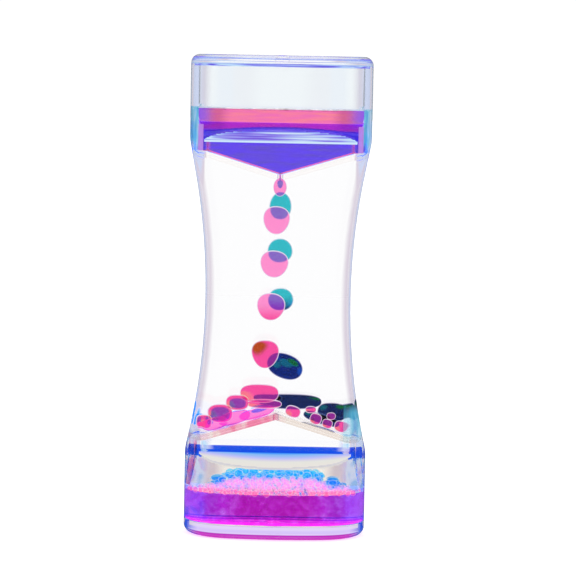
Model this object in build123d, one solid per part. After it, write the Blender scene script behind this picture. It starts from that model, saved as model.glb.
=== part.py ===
from build123d import *
from math import atan, degrees, hypot, sqrt
import os

# Liquid motion timer: a clear hourglass case with oval end blocks and two compartments, front and rear.
# Coloured liquid drips from V-shaped trays at the upper end, and collects in the lower end block.
# X is the width, Y the depth (the front faces -Y) and Z is up. The origin is the middle of the base.
# All sizes are in millimetres.

# Outer form of the case
height = 132.0
block_width = 50.0
block_depth = 30.0
block_height = 23.4
block_bulge = 1.0
waist_width = 39.8
middle_depth = 21.0
middle_corner_radius = 4.5
facet_height = 2.7
wall = 2.0

# End caps and their fill plugs
cap_flange = 2.6
cap_spigot = 1.2
cap_edge_land = 0.2
fill_hole_diameter = 3.6
plug_recess = 0.2

# Divider plates
divider_thickness = 1.6
groove_depth = 0.8

# Funnel trays, with their heights given from the end of the case
tray_tip_depth = 32.5
tray_slope = 0.303
tray_plate = 1.6
weir_depth = 13.6
weir_thickness = 0.6
flare_depth = 21.5
return_gap = 1.8
lip_gap = 0.3
drip_bore = 1.6

# Liquid surfaces: below the weirs' upper edge at the upper end, and below their lower edge at the lower end
pink_surface_drop = 1.0
blue_surface_drop = 4.8
pink_pool_drop = 1.3
blue_pool_drop = 0.8
blue_foam_height = 5.4
blue_foam_share = 0.74
blue_foam_depth_share = 0.85

# Clearances
fit = 0.1
groove_fit = 0.1
plug_fit = 0.05
liquid_fit = 0.1
drop_gap = 0.55
landed_gap = 0.75

# Falling drops, from the top of the stream down: centre across, share of the fall left, width and height
pink_drops = [
    (-0.8, 0.948, 7.3, 7.7),
    (-1.2, 0.715, 7.7, 7.4),
    (-1.9, 0.490, 7.7, 7.5),
    (-3.2, 0.237, 7.5, 7.8),
]
blue_drops = [
    (0.2, 0.981, 6.2, 7.6),
    (0.3, 0.748, 7.0, 6.7),
    (0.7, 0.501, 7.2, 6.4),
    (2.3, 0.161, 10.2, 7.0),
]
pink_pendant_size = (3.7, 4.1)
blue_pendant_size = (1.9, 2.2)

# Landed drops on the lower roofs: share of the way to the weir, centre over the roof, width and height
# Their depth follows from the width, up to the depth of the compartment
landed_roundness = 1.1
pink_landed = [
    (-0.138, 5.7, 8.8, 5.6),
    (-0.187, 1.1, 7.2, 3.2),
    (-0.498, 4.9, 5.4, 4.8),
    (-0.542, 0.9, 6.2, 2.8),
    (-0.759, 4.0, 4.5, 4.2),
    (-0.808, 0.6, 3.4, 2.2),
    (-0.946, 1.5, 2.0, 3.6),
    (0.202, 1.3, 4.1, 3.2),
    (0.399, 4.0, 3.0, 1.9),
    (0.502, 1.3, 3.6, 3.3),
    (0.680, 1.1, 3.0, 2.6),
    (0.690, 3.8, 2.5, 1.8),
    (0.867, 1.4, 3.6, 3.4),
]
blue_landed = [
    (0.271, 2.9, 11.4, 6.9),
    (0.734, 3.2, 6.6, 7.2),
    (-0.729, 2.9, 4.9, 6.2),
    (-0.054, 4.7, 4.6, 2.8),
    (-0.187, 1.3, 5.0, 3.4),
    (-0.453, 1.2, 5.4, 3.4),
]

# Values that follow from the sizes above
middle_level = height / 2
half_width = block_width / 2
half_depth = block_depth / 2
half_middle_depth = middle_depth / 2
waist_half = waist_width / 2
side_radius = half_depth - block_bulge
side_centre = half_width - side_radius
front_radius = (half_width**2 + half_depth**2 - 2 * half_width * side_radius) / (2 * block_bulge)
front_centre = front_radius - half_depth
waist_rise = half_width - waist_half
waist_reach = middle_level - block_height
waist_radius = (waist_reach**2 + waist_rise**2) / (2 * waist_rise)
facet_run = half_depth - half_middle_depth
facet_length = hypot(facet_height, facet_run)
cap_thickness = cap_flange + cap_spigot
cap_edge_radius = cap_flange - cap_edge_land
cavity_floor = cap_thickness
cavity_ceiling = height - cap_thickness
divider_face = divider_thickness / 2
compartment_depth = half_middle_depth - wall - divider_face
stream_offset = divider_face + compartment_depth / 2
fill_hole_offset = (divider_face + half_depth - wall) / 2
tray_half_width = half_width - wall - return_gap - weir_thickness
tray_tip_height = height - tray_tip_depth
tray_drop = tray_plate * sqrt(1 + tray_slope**2)
tray_outlet = tray_tip_height - tray_drop
weir_top = height - weir_depth
flare_level = height - flare_depth
lip_reach = return_gap - lip_gap
roof_peak = height - tray_outlet
drop_depth = compartment_depth - 2 * drop_gap
landed_depth = compartment_depth - 2 * landed_gap
blue_foam_width = 2 * blue_foam_share * tray_half_width
blue_foam_depth = 2 * blue_foam_depth_share * half_depth
bore_length = 4 * tray_plate

ends_plane = Plane.XY.offset(middle_level)


def oval(inset):
    """Four-arc oval of the end blocks, shrunk by inset all round."""
    x = half_width - inset
    y = half_depth - inset
    length = hypot(side_centre, front_centre)
    tx = side_centre + (side_radius - inset) * side_centre / length
    ty = (side_radius - inset) * front_centre / length
    front = ThreePointArc((-tx, -ty), (0, -y), (tx, -ty))
    right = ThreePointArc((tx, -ty), (x, 0), (tx, ty))
    rear = ThreePointArc((tx, ty), (0, y), (-tx, ty))
    left = ThreePointArc((-tx, ty), (-x, 0), (-tx, -ty))
    return make_face([front, right, rear, left])


def oval_prism(inset, low, high):
    """Upright oval prism between two heights."""
    return extrude(Plane.XY.offset(low) * oval(inset), amount=high - low)


def slab(low, high, near, far):
    """Box as wide as the case, between two heights and two depths."""
    return Pos(0, (near + far) / 2, (low + high) / 2) * Box(2 * block_width, far - near, high - low)


def facet_at(inset, y):
    """Height of the lower block's sloping facet at a given depth."""
    line_y = half_depth - inset * facet_height / facet_length
    line_z = block_height - facet_height - inset * facet_run / facet_length
    return line_z - facet_height / facet_run * (y - line_y)


def lower_block(inset, low):
    """Lower end block with its front and rear facets."""
    deep = half_depth - inset
    flat = half_middle_depth - inset
    facet_low = facet_at(inset, deep)
    facet_top = facet_at(inset, flat)
    outline = Polyline(
        (-deep, low),
        (deep, low),
        (deep, facet_low),
        (flat, facet_top),
        (-flat, facet_top),
        (-deep, facet_low),
        close=True,
    )
    side_view = extrude(Plane.YZ * make_face(outline), amount=block_width, both=True)
    return oval_prism(inset, low, facet_top) & side_view


def middle_tube(inset):
    """Waisted middle with rounded upright edges, held inside the oval of the blocks."""
    overlap = 2 * facet_height
    bottom = block_height - overlap
    top = height - bottom
    radius = waist_radius + inset
    centre = waist_half + waist_radius
    end = centre - sqrt(radius**2 - (middle_level - bottom) ** 2)
    neck = waist_half - inset
    right = ThreePointArc((end, bottom), (neck, middle_level), (end, top))
    upper = Line((end, top), (-end, top))
    left = ThreePointArc((-end, top), (-neck, middle_level), (-end, bottom))
    lower = Line((-end, bottom), (end, bottom))
    profile = make_face([right, upper, left, lower])
    tube = extrude(Plane.XZ * profile, amount=half_middle_depth - inset, both=True)
    tube = fillet(tube.edges().filter_by(GeomType.CIRCLE), middle_corner_radius - inset)
    return tube & oval_prism(inset, bottom, top)


def envelope(inset, low, high):
    """Outer form of the case shrunk by inset, between two heights."""
    lower = lower_block(inset, low)
    upper = mirror(lower_block(inset, height - high), about=ends_plane)
    return lower + middle_tube(inset) + upper


def flip(shape):
    """Piece of the lower end from the like piece of the upper end."""
    return mirror(shape, about=ends_plane)


def to_rear(shape):
    """Piece of the rear compartment from the like piece of the front one."""
    return mirror(shape, about=Plane.XZ)


def ellipsoid(x, y, z, width, depth, tall):
    """Smooth drop of liquid."""
    return Pos(x, y, z) * scale(Sphere(0.5), by=(width, depth, tall))


def save(shape, node):
    """Write one node's solids."""
    export_step(shape, "parts/" + node + ".step")


os.makedirs("parts", exist_ok=True)

# Case: one moulded tube with a groove down each side wall for the divider
cavity = envelope(wall, 0, height)
groove_slab = slab(0, height, -divider_face - groove_fit, divider_face + groove_fit)
groove = envelope(wall - groove_depth, 0, height) & groove_slab
body_shell = envelope(0, cap_flange, height - cap_flange) - cavity - groove
save(body_shell, "body_shell")

# End caps: flange with a rounded rim, and a spigot inside the tube
flange = oval_prism(0, 0, cap_flange)
flange = fillet(flange.faces().sort_by(Axis.Z)[0].edges(), cap_edge_radius)
spigot = oval_prism(wall + fit, cap_flange, cap_thickness)
front_hole = Pos(0, -fill_hole_offset, cap_thickness / 2) * Cylinder(fill_hole_diameter / 2, cap_thickness)
lower_end_cap = flange + spigot - front_hole - to_rear(front_hole)
save(lower_end_cap, "lower_end_cap")
save(flip(lower_end_cap), "upper_end_cap")

# Fill plugs, one for each compartment
plug_length = cap_thickness - plug_recess
front_plug = Pos(0, -fill_hole_offset, plug_recess + plug_length / 2) * Cylinder(
    fill_hole_diameter / 2 - plug_fit, plug_length
)
lower_fill_plugs = Compound([front_plug, to_rear(front_plug)])
save(lower_fill_plugs, "lower_fill_plugs")
save(flip(lower_fill_plugs), "upper_fill_plugs")

# Dividers: two plates that slide in from the ends and meet at the waist
divider_slab = slab(cavity_floor + fit, middle_level - fit / 2, -divider_face, divider_face)
lower_divider = envelope(wall - groove_depth + groove_fit, 0, height) & divider_slab
save(lower_divider, "lower_divider")
save(flip(lower_divider), "upper_divider")

# Funnel trays: V-shaped floor with a drip bore, and a weir at each side that flares out to the case
weir_face = tray_half_width + weir_thickness
tray_corner = tray_tip_height + tray_slope * tray_half_width
weir_foot = tray_outlet + tray_slope * weir_face
inner_side = [
    (tray_half_width + lip_reach, weir_top),
    (tray_half_width, flare_level),
    (tray_half_width, tray_corner),
]
outer_side = [
    (weir_face, weir_foot),
    (weir_face, flare_level),
    (weir_face + lip_reach, weir_top),
]
left_outer = [(-x, z) for x, z in reversed(outer_side)]
left_inner = [(-x, z) for x, z in reversed(inner_side)]
tray_points = inner_side + [(0, tray_tip_height)] + left_inner + left_outer + [(0, tray_outlet)] + outer_side
tray_outline = Polyline(tray_points, close=True)
front_half = slab(0, height, -half_depth, -divider_face - fit)
tray_room = envelope(wall + fit, 0, height) & front_half
tray_prism = extrude(Plane.XZ * make_face(tray_outline), amount=half_depth)
bore = Pos(0, -stream_offset, tray_tip_height) * Cylinder(drip_bore / 2, bore_length)
upper_front_tray = (tray_prism & tray_room) - bore
save(upper_front_tray, "upper_front_tray")
save(to_rear(upper_front_tray), "upper_rear_tray")
save(flip(upper_front_tray), "lower_front_tray")
save(flip(to_rear(upper_front_tray)), "lower_rear_tray")

# Liquid still in the upper trays
liquid_face = divider_face + liquid_fit
liquid_room = envelope(wall + liquid_fit, cavity_floor + liquid_fit, cavity_ceiling) & slab(
    0, height, -half_depth, -liquid_face
)


def tray_liquid(level):
    """Liquid in the upper front tray up to a level."""
    side = tray_half_width - liquid_fit
    floor = tray_tip_height + liquid_fit
    brim = side + lip_reach * (level - flare_level) / (weir_top - flare_level)
    right = [(side, floor + tray_slope * side), (side, flare_level), (brim, level)]
    left = [(-x, z) for x, z in reversed(right)]
    outline = make_face(Polyline([(0, floor)] + right + left, close=True))
    return extrude(Plane.XZ * outline, amount=half_depth) & liquid_room


save(tray_liquid(weir_top - pink_surface_drop), "pink_reservoir")
save(to_rear(tray_liquid(weir_top - blue_surface_drop)), "blue_reservoir")


def pendant(size):
    """Drop that hangs from the drip bore by its neck, in the front compartment."""
    width, tall = size
    drop = ellipsoid(0, -stream_offset, tray_outlet - liquid_fit - tall / 2, width, width, tall)
    neck_length = tray_drop + tall / 2
    neck = Cylinder(drip_bore / 2 - liquid_fit, neck_length)
    return drop + Pos(0, -stream_offset, tray_tip_height - neck_length / 2) * neck


save(pendant(pink_pendant_size), "pink_pendant_drop")
save(to_rear(pendant(blue_pendant_size)), "blue_pendant_drop")


def falling(drop, pendant_size):
    """Drop in the front compartment, between the hanging drop over it and the roof under it."""
    x, share, width, tall = drop
    top = tray_outlet - liquid_fit - pendant_size[1]
    level = roof_peak + tall / 2 + share * (top - roof_peak - tall)
    return ellipsoid(x, -stream_offset, level, width, drop_depth, tall)


# Falling drops
for number, drop in enumerate(pink_drops, 1):
    save(falling(drop, pink_pendant_size), f"pink_drop_{number}")
for number, drop in enumerate(blue_drops, 1):
    save(to_rear(falling(drop, blue_pendant_size)), f"blue_drop_{number}")

# Landed drops, flattened where they lie on the sloping roof of the lower tray
roof_lean = degrees(atan(tray_slope))


def landed(drops):
    """Landed drops in the front compartment."""
    pile = []
    for share, above, width, tall in drops:
        x = share * tray_half_width
        depth = min(landed_depth, landed_roundness * width)
        bed = Pos(0, 0, (liquid_fit - above) / tall - 1) * Box(2, 2, 2)
        drop = scale(Sphere(0.5) - bed, by=(width, depth, tall))
        lean = roof_lean if x > 0 else -roof_lean
        place = Pos(x, -stream_offset, roof_peak - tray_slope * abs(x)) * Rot(0, lean, 0) * Pos(0, 0, above)
        pile.append(place * drop)
    return Compound(pile)


save(landed(pink_landed), "pink_pile")
save(to_rear(landed(blue_landed)), "blue_pile")

# Pools in the lower end block, and the small drops that float on them
pink_pool_level = weir_depth - pink_pool_drop
blue_pool_level = weir_depth - blue_pool_drop
save(liquid_room & slab(0, pink_pool_level, -half_depth, 0), "pink_pool")
save(to_rear(liquid_room & slab(0, blue_pool_level, -half_depth, 0)), "blue_pool")
pink_foam = liquid_room & slab(pink_pool_level + liquid_fit, weir_depth - liquid_fit, -half_depth, 0)
save(pink_foam, "pink_foam")
blue_bed = blue_pool_level + liquid_fit
mound = ellipsoid(0, -divider_face, blue_bed, blue_foam_width, blue_foam_depth, 2 * blue_foam_height)
blue_foam = mound & liquid_room & slab(blue_bed, middle_level, -half_depth, 0)
save(to_rear(blue_foam), "blue_foam")
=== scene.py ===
"""Looks of a liquid motion timer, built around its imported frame.

A clear hourglass case is filled with oil. Pink water drips from a tray in its front compartment, blue
water from a tray in its rear one, and both gather in the lower end block.
"""

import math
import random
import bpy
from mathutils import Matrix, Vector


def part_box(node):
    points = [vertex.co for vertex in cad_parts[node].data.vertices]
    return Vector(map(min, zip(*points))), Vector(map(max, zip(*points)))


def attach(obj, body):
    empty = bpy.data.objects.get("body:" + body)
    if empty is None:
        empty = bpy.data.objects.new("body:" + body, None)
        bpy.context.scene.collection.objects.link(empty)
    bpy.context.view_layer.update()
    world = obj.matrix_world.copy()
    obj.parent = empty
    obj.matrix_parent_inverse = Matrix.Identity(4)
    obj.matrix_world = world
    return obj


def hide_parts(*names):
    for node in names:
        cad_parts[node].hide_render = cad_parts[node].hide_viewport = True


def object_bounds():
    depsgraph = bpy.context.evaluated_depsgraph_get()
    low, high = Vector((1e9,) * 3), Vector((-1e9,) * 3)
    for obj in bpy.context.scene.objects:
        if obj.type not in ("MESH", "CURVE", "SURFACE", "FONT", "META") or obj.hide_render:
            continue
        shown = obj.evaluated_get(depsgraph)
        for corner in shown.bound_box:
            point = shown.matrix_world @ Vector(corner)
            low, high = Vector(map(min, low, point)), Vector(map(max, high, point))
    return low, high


bl_info = {
    "name": "Liquid motion timer",
    "version": (1, 0, 0),
    "blender": (4, 5, 0),
    "location": "View3D > Sidebar > Timer",
    "description": "Builds the clear case, the inserts and the coloured liquids of a liquid motion timer",
    "category": "Object",
}

import bmesh
import bpy
from bpy.props import FloatProperty, FloatVectorProperty, IntProperty, PointerProperty
from mathutils import Matrix, Vector

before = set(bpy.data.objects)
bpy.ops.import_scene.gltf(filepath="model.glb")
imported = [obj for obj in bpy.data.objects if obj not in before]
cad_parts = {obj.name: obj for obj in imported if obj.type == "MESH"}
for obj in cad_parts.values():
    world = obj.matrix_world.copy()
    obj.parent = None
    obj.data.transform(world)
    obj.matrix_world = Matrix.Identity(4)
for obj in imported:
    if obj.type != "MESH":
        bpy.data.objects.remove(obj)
CAD_BOX = [[float(value) for value in corner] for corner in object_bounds()]

MM = 0.001
DROPS = [f"{hue}_drop_{number}" for hue in ("pink", "blue") for number in range(1, 5)]

# Landed drops over the lower roof in millimetres: middle across, middle over the roof, width and height
PINK_LANDED = [
    (-4.6, 6.7, 10.6, 5.2),
    (-10.6, 5.9, 6.4, 4.4),
    (-15.2, 4.2, 6.8, 5.2),
    (-18.9, 2.9, 2.8, 3.8),
    (-3.2, 3.4, 9.6, 2.6),
    (4.7, 1.9, 4.3, 3.2),
    (9.6, 4.0, 3.0, 1.9),
    (11.0, 1.9, 3.3, 3.0),
    (14.2, 1.6, 2.9, 2.5),
    (15.2, 4.0, 2.5, 2.0),
    (17.9, 2.0, 3.6, 3.1),
]
PINK_FILM = [(-5.2, 1.5, 10.0, 2.8), (-11.4, 1.9, 9.0, 3.6), (-16.6, 1.8, 7.0, 3.4)]
NAVY_LANDED = [(3.9, 3.7, 17.4, 4.4), (-2.4, 4.1, 8.0, 2.5), (15.3, 4.2, 7.8, 5.8), (12.6, 1.6, 10.4, 3.0)]
THIN_LANDED = [(-15.4, 3.3, 6.0, 4.8), (-10.6, 4.9, 5.4, 3.6), (-18.2, 2.4, 1.8, 3.0), (-4.6, 1.8, 5.2, 2.2)]

# Slope of the lower roof, and the height over it under which a landed drop lies along it
ROOF_SLOPE = 0.303
LYING = 2.1 * MM

# Refractive indices of the case, the dividers and the oil, and of dyed water and soft plugs against the oil
PLASTIC = 1.59
ACRYLIC = 1.49
OIL = 1.46
WATER_TO_OIL = 0.985
PLUG_TO_OIL = 1.02

# Slots of the case's finishes, of which the end caps have the first five
OUTER, WETTED, DRY, WELDED, FOOT, FACET, BLUE_FACET, STREAKED, PAINTED_BEIGE, PAINTED_LILAC = range(10)

# How far a face looks to the front or rear, and its corners up or down, where it is part of a facet
LEAST_FACING = 0.4
OUTER_TILT = 0.03
REAR_TILT = 0.2
FRONT_TILT = 0.3

# Half width of the painted blue light inside the lower rear facet, and the height of the foot over the cap's
# flange
BLUE_REACH = 19 * MM
FOOT_RISE = 1.6 * MM

# Clearance of the caps' spigot, thickness of the drawn oil surface, and fineness of the caps
SPIGOT_GAP = 0.1 * MM
OIL_SKIN = 0.4 * MM
RIM_STEPS = 10
HOLE_POINTS = 48
SHARP_ANGLE = math.radians(40)


def linear(hex_colour):
    """Linear red, green and blue of an sRGB hex colour, with full opacity."""
    shares = [int(hex_colour[i : i + 2], 16) / 255 for i in (1, 3, 5)]
    return [s / 12.92 if s <= 0.04045 else ((s + 0.055) / 1.055) ** 2.4 for s in shares] + [1.0]


NO_GLOW = linear("#000000")


def size(name, description, value):
    """A length that the user may change."""
    return FloatProperty(
        name=name, description=description, default=value, min=0, unit="LENGTH", precision=4
    )


def colour(name, description, hex_colour):
    """A colour that the user may change."""
    tone = linear(hex_colour)
    return FloatVectorProperty(
        name=name, description=description, default=tone, size=4, min=0, max=1, subtype="COLOR"
    )


class TimerCaseSettings(bpy.types.PropertyGroup):
    """Sizes of the clear case that its box doesn't give."""

    wall: size("Wall", "Thickness of the clear wall", 2.0 * MM)
    block_height: size("Block height", "Height of each end block with its facets", 23.4 * MM)
    block_bulge: size("Block bulge", "Rise of the end blocks' front and rear arcs", 1.0 * MM)
    facet_height: size("Facet height", "Height of the sloping facets under and over the blocks", 2.7 * MM)
    middle_depth: size("Middle depth", "Depth of the flat middle", 21.0 * MM)
    waist_width: size("Waist width", "Width at the narrowest level", 39.8 * MM)
    corner_radius: size("Corner radius", "Radius of the upright edges of the middle", 4.5 * MM)
    edge_softness: size("Edge softness", "Width over which the facets' edges are rounded", 0.4 * MM)
    cap_flange: size("Cap flange", "Thickness of the end caps' flange", 2.6 * MM)
    cap_spigot: size("Cap spigot", "Height of the end caps' spigot inside the tube", 1.2 * MM)
    cap_rim: size("Cap rim", "Radius of the end caps' rounded rim", 2.4 * MM)
    groove_width: size("Groove width", "Width of the grooves that hold the dividers", 1.8 * MM)
    groove_depth: size("Groove depth", "Depth of the grooves that hold the dividers", 0.8 * MM)
    fill_hole: size("Fill hole", "Diameter of the holes in the end caps", 3.6 * MM)
    oil_level: size("Oil level", "Height of the oil's free surface under the air pocket", 117.7 * MM)
    ring_points: IntProperty(name="Ring points", description="Points round the case", default=336, min=48)


class TimerLiquidSettings(bpy.types.PropertyGroup):
    """Colours and fineness of the dyed water and its foam."""

    pink: colour("Pink", "What a high pink drop lets through", "#E58D69")
    # Each glow is painted light, an emission of the water that brightens its colour
    pink_glow: colour("Pink glow", "Light that the fluorescent pink dye gives off", "#611EA3")
    run_pink: colour("Run pink", "What the pink film on the lower roof lets through", "#F0847C")
    hot_pink: colour("Hot pink", "What a low pink drop lets through", "#D74550")
    hot_glow: colour("Hot pink glow", "Light that the dye of a low pink drop gives off", "#6C2281")
    amber: colour("Amber", "Brown patches in the low pink drops", "#874702")
    peach: colour("Peach", "Pale patches in the landed pink drops", "#FFC894")
    teal: colour("Teal", "What a high blue drop lets through", "#35BDC8")
    navy: colour("Navy", "What a low blue drop lets through", "#0C2474")
    glint: colour("Glint", "Teal patches in the low blue drops", "#08E490")
    leaf: colour("Leaf", "Green patches in the low blue drops", "#08E41C")
    sheen: colour("Sheen", "Bright blue patches in the low blue drops", "#1E7FF6")
    dark_navy: colour("Dark navy", "What the landed blue drops on the right let through", "#122359")
    salmon: colour("Salmon", "Streaks in the pink in the upper tray", "#FE8A9E")
    rim: colour("Rim", "Light that slips round the edge of a drop", "#F4ECFA")
    deep_pink: colour("Deep pink", "What the pink in the upper tray lets through", "#F676B8")
    # Violet is painted light at the upper tray's ends
    violet: colour("Violet", "What the ends of the pink in the upper tray let through", "#B070F8")
    azure: colour("Azure", "What the blue in the upper tray lets through", "#64A4FA")
    azure_glow: colour("Azure glow", "Light that the blue dye gives off", "#201CB0")
    purple: colour("Purple", "Skin of the blue in the upper tray", "#B45CC8")
    pool_pink: colour("Pool pink", "What the pink pool lets through", "#E83CDC")
    pool_blue: colour("Pool blue", "What the blue pool lets through", "#C652EB")
    pool_skin: colour("Pool skin", "What the top of the blue pool lets through", "#2C7CF4")
    pool_glow: colour("Pool glow", "Light at the bottom of the pink pool", "#B014AC")
    pool_side: colour("Pool side", "What the ends of the blue pool let through", "#C4F0FF")
    thin_blue: colour("Thin blue", "What the landed blue drops on the left let through", "#40B0F4")
    thin_glow: colour("Thin blue glow", "Light that those drops give off", "#003CB4")
    fineness: size("Fineness", "Mesh spacing on the large bodies of liquid", 0.4 * MM)
    bubble: size("Bubble", "Radius of the largest bubbles of the foam", 1.35 * MM)


class TimerStageSettings(bpy.types.PropertyGroup):
    """Place and view of the camera."""

    distance: size("Distance", "Camera to the timer's middle", 800 * MM)
    eye_height: size("Eye height", "Height of the camera over the floor", 130 * MM)
    frame_width: size("Frame width", "Width of the picture at the timer's middle", 158.4 * MM)
    aim_across: size("Aim across", "Aim point to the right of the timer's middle", 2.7 * MM)
    aim_height: size("Aim height", "Aim point over the floor", 68.1 * MM)
    roll: FloatProperty(
        name="Roll", description="Lean of the camera", default=math.radians(1.1), subtype="ANGLE"
    )


# Meshes


def new_object(name, body, materials, slots=None):
    """Smooth object of a bmesh, or of vertices and faces, with its edges over an angle kept sharp."""
    mesh = bpy.data.meshes.new(name)
    for material in materials:
        mesh.materials.append(material)
    if isinstance(body, bmesh.types.BMesh):
        body.to_mesh(mesh)
        body.free()
    else:
        verts, faces = body
        mesh.from_pydata(verts, [], faces)
    if slots:
        mesh.polygons.foreach_set("material_index", slots)
    mesh.shade_smooth()
    mesh.set_sharp_from_angle(angle=SHARP_ANGLE)
    obj = bpy.data.objects.new(name, mesh)
    bpy.context.scene.collection.objects.link(obj)
    return obj


def skin(rings, closed=False):
    """Vertices and faces of a surface through rings of like points."""
    count = len(rings[0])
    verts = [point for ring in rings for point in ring]
    faces = []
    for low in range(len(rings) if closed else len(rings) - 1):
        high = (low + 1) % len(rings)
        for i in range(count):
            j = (i + 1) % count
            faces.append((low * count + i, low * count + j, high * count + j, high * count + i))
    return verts, faces


def bulb(profile, half_width, half_depth, place, segments=64):
    """Vertices and faces of a closed round body, from (radius share, height) pairs read from the bottom up.

    The first and last pairs are its poles."""
    rings = []
    for share, height in profile[1:-1]:
        ring = []
        for i in range(segments):
            angle = 2 * math.pi * i / segments
            x = half_width * share * math.cos(angle)
            y = half_depth * share * math.sin(angle)
            ring.append(place @ Vector((x, y, height)))
        rings.append(ring)
    verts, faces = skin(rings)
    bottom = len(verts)
    top = bottom + 1
    last = bottom - segments
    verts += [place @ Vector((0, 0, profile[0][1])), place @ Vector((0, 0, profile[-1][1]))]
    for i in range(segments):
        j = (i + 1) % segments
        faces.append((bottom, j, i))
        faces.append((top, last + i, last + j))
    return verts, faces


def join_bodies(bodies):
    """One list of vertices and faces from several."""
    verts, faces = [], []
    for body_verts, body_faces in bodies:
        start = len(verts)
        verts += body_verts
        faces += [tuple(start + i for i in face) for face in body_faces]
    return verts, faces


def soft_copy(name, node, spacing, passes, material):
    """Copy of a frame shape whose edges are drawn round, as surface tension does."""
    obj = bpy.data.objects.new(name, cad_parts[node].data.copy())
    bpy.context.scene.collection.objects.link(obj)
    obj.data.materials.clear()
    obj.data.materials.append(material)
    remesh = obj.modifiers.new("even mesh", "REMESH")
    remesh.mode = "VOXEL"
    remesh.voxel_size = spacing
    remesh.use_smooth_shade = True
    smooth = obj.modifiers.new("surface tension", "SMOOTH")
    smooth.factor = 0.5
    smooth.iterations = passes
    shaped = obj.evaluated_get(bpy.context.evaluated_depsgraph_get())
    mesh = bpy.data.meshes.new_from_object(shaped)
    obj.modifiers.clear()
    obj.data = mesh
    mesh.name = name
    return obj


def settle(obj, body, slot, *nodes):
    """Let a piece ride on a body, with the nodes that it stands for hidden. Its slot argument, the finish's
    slot, is not used.
    """
    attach(obj, body)
    if nodes:
        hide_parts(*nodes)


# Form of the case


def soft_min(a, b, width):
    """Smaller of two lengths, with the corner between them rounded over a width."""
    share = max(width - abs(a - b), 0) / width
    return min(a, b) - share * share * width / 4


class CaseForm:
    """Outer form of the case, which also gives its inner faces when it is shrunk by an inset."""

    def __init__(self, sizes):
        low, high = CAD_BOX
        self.sizes = sizes
        self.height = high[2] - low[2]
        self.half_width = (high[0] - low[0]) / 2
        self.half_depth = (high[1] - low[1]) / 2
        self.half_middle = sizes.middle_depth / 2
        self.side_radius = self.half_depth - sizes.block_bulge
        self.side_centre = self.half_width - self.side_radius
        square = self.half_width**2 + self.half_depth**2 - 2 * self.half_width * self.side_radius
        self.front_radius = square / (2 * sizes.block_bulge)
        self.front_centre = self.front_radius - self.half_depth
        rise = self.half_width - sizes.waist_width / 2
        reach = self.height / 2 - sizes.block_height
        self.waist_radius = (reach**2 + rise**2) / (2 * rise)
        self.facet_run = self.half_depth - self.half_middle

    def oval(self, cos, sin, inset):
        """Radius of the end blocks' four-arc oval in one direction."""
        length = math.hypot(self.side_centre, self.front_centre)
        side = self.side_radius - inset
        joint_x = self.side_centre + side * self.side_centre / length
        joint_y = side * self.front_centre / length
        if sin * joint_x < cos * joint_y:
            return self.side_centre * cos + math.sqrt(side**2 - (self.side_centre * sin) ** 2)
        front = self.front_radius - inset
        return math.sqrt(front**2 - (self.front_centre * cos) ** 2) - self.front_centre * sin

    def facet_level(self, inset):
        """Height where the lower facet, shrunk by inset, meets the flat middle."""
        length = math.hypot(self.sizes.facet_height, self.facet_run)
        slope = self.sizes.facet_height / self.facet_run
        line_y = self.half_depth - inset * self.sizes.facet_height / length
        line_z = self.sizes.block_height - self.sizes.facet_height - inset * self.facet_run / length
        return line_z + slope * (line_y - self.half_middle + inset)

    def middle(self, cos, sin, level, inset):
        """Radius of the waisted middle and of the facets, in one direction."""
        from_end = min(level, self.height - level)
        flat = self.half_middle - inset
        slope = self.facet_run / self.sizes.facet_height
        deep = flat + max(0, self.facet_level(inset) - from_end) * slope
        radius = self.waist_radius + inset
        centre = self.sizes.waist_width / 2 + self.waist_radius
        wide = centre - math.sqrt(radius**2 - (self.height / 2 - level) ** 2)
        corner = self.sizes.corner_radius - inset
        straight = min(wide / max(cos, 1e-9), deep / max(sin, 1e-9))
        inner_x = wide - corner
        inner_y = deep - corner
        if straight * cos <= inner_x or straight * sin <= inner_y:
            return straight
        along = inner_x * cos + inner_y * sin
        return along + math.sqrt(corner**2 - inner_x**2 - inner_y**2 + along**2)

    def radius(self, angle, level, inset):
        """Distance from the axis to the surface at an angle round the case and a level."""
        cos = abs(math.cos(angle))
        sin = abs(math.sin(angle))
        oval = self.oval(cos, sin, inset)
        return soft_min(oval, self.middle(cos, sin, level, inset), self.sizes.edge_softness)

    def ring(self, level, inset, grooved=False):
        """Points round the case at a level."""
        points = []
        count = self.sizes.ring_points
        for i in range(count):
            angle = 2 * math.pi * i / count
            radius = self.radius(angle, level, inset)
            if grooved and abs(radius * math.sin(angle)) < self.sizes.groove_width / 2:
                radius += self.sizes.groove_depth
            points.append(Vector((radius * math.cos(angle), radius * math.sin(angle), level)))
        return points

    def levels(self, low, high, extra=()):
        """Heights of the rings, close together where the facets are."""
        fine, coarse = 0.25 * MM, 1.2 * MM
        band = self.sizes.block_height - self.sizes.facet_height / 2
        reach = 1.2 * self.sizes.facet_height
        found = {high, *extra}
        level = low
        while level < high:
            found.add(level)
            from_end = min(level, self.height - level)
            level += fine if abs(from_end - band) < reach else coarse
        return sorted(found)


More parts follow.
